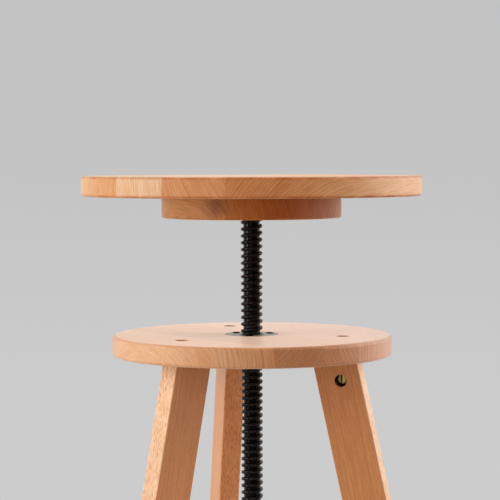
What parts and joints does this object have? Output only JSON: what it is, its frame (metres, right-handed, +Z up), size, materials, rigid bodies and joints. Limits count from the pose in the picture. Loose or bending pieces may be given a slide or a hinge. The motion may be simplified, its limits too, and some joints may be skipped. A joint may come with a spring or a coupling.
{
  "type": "adjustable swivel stool",
  "caption": "Round wooden swivel stool whose seat climbs on a coarse lift screw through a flange nut in a round base disc on leaning board legs.",
  "frame": {"origin": "on the floor, on the axis of the lift screw", "axes": "+Z up along the lift screw, +Y towards the back leg, +X to the right"},
  "size_m": [0.3428, 0.3624, 0.559],
  "materials": {
    "seat_beech": "satin lacquer",
    "base_beech": "satin lacquer",
    "leg_beech": "satin lacquer",
    "dowel_beech": "raw",
    "blackened_steel": "blackened, oiled",
    "zinc_steel": "zinc plated",
    "yellow_zinc_steel": "yellow passivated zinc",
    "buffer_rubber": "matte",
    "glide_plastic": "matte"
  },
  "bodies": {
    "base": {"base_disc": "base_beech", "flange_nut": "zinc_steel", "flange_nut_screws": "zinc_steel", "leg_right": "leg_beech", "leg_back": "leg_beech", "leg_left": "leg_beech", "leg_bolt_right": "blackened_steel", "leg_bolt_back": "blackened_steel", "leg_bolt_left": "blackened_steel", "leg_washer_right": "zinc_steel", "leg_washer_back": "zinc_steel", "leg_washer_left": "zinc_steel", "barrel_nut_right": "yellow_zinc_steel", "barrel_nut_back": "yellow_zinc_steel", "barrel_nut_left": "yellow_zinc_steel", "locating_dowel_right": "dowel_beech", "locating_dowel_back": "dowel_beech", "locating_dowel_left": "dowel_beech", "foot_glide_right": "glide_plastic", "foot_glide_back": "glide_plastic", "foot_glide_left": "glide_plastic", "glide_nail_right": "zinc_steel", "glide_nail_back": "zinc_steel", "glide_nail_left": "zinc_steel"},
    "buffer": {"stop_buffer": "buffer_rubber"},
    "seat": {"seat_top": "seat_beech", "backing_disc": "seat_beech", "backing_disc_screws": "zinc_steel", "screw_plate": "blackened_steel", "screw_plate_screws": "zinc_steel", "lift_screw": "blackened_steel", "stop_washer": "zinc_steel", "stop_bolt": "zinc_steel"}
  },
  "joints": [
    {"name": "seat_lift", "type": "slide", "parent": "base", "child": "buffer", "axis": [0, 0, 1], "range_m": [-0.116, 0.151]},
    {"name": "seat_swivel", "type": "hinge", "parent": "buffer", "child": "seat", "pos_m": [0, 0, 0], "axis": [0, 0, 1], "range_deg": [-6141, 7994]}
  ],
  "couplings": [
    {"joint": "seat_lift", "follows": "seat_swivel", "m_per_rad": 0.0010823}
  ]
}
